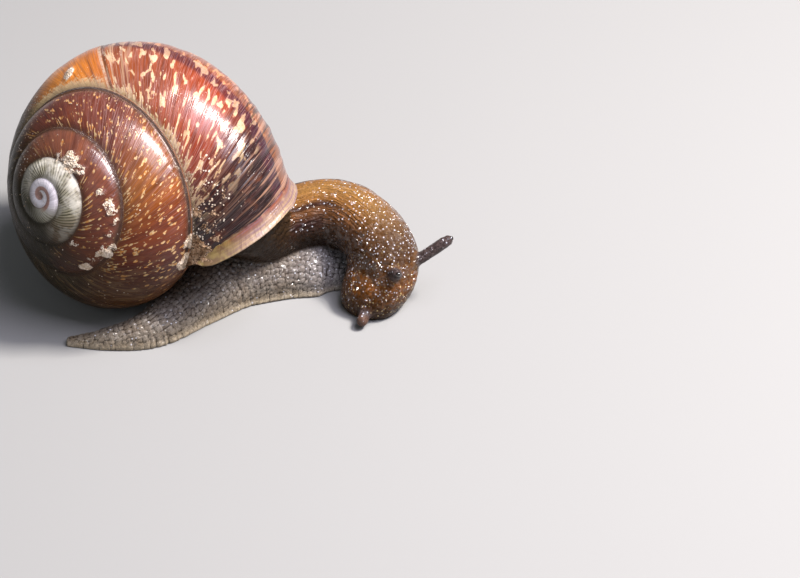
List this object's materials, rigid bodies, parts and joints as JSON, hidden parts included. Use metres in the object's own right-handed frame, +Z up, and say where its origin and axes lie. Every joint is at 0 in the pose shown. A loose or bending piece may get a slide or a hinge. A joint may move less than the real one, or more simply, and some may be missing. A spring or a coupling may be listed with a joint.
{
  "type": "land snail",
  "caption": "Life-size still model of a copse snail, its neck stretched from the shell and its head bent down to feed.",
  "frame": {"origin": "middle of the snail's bounding box, at floor level", "axes": "+Z up from the floor, +X the way the snail heads, its right side faces -Y"},
  "size_m": [0.033, 0.018, 0.0177],
  "materials": {
    "shell": "glossy chestnut with straw flecks, weathered at the apex",
    "shell_lip": "satin cream",
    "mantle": "moist",
    "flank": "moist, coarse grey-brown tubercles",
    "neck": "moist, ochre-brown and grooved",
    "head": "moist, orange-brown with pale specks",
    "feeler": "moist dark grey",
    "feeler_pale": "moist, translucent",
    "eye": "glossy black"
  },
  "bodies": {
    "root": {"shell_spire": "shell", "shell_body_whorl": "shell", "shell_lip": "shell_lip", "mantle_collar": "mantle", "trunk": "flank", "foot_front": "flank", "foot_middle": "flank", "tail": "flank", "neck_rear": "neck", "neck_front": "neck", "head": "head", "upper_tentacle_left": "feeler", "upper_tentacle_right": "feeler", "lower_tentacle_left": "feeler_pale", "lower_tentacle_right": "feeler_pale", "eye_left": "eye", "eye_right": "eye"}
  },
  "joints": []
}
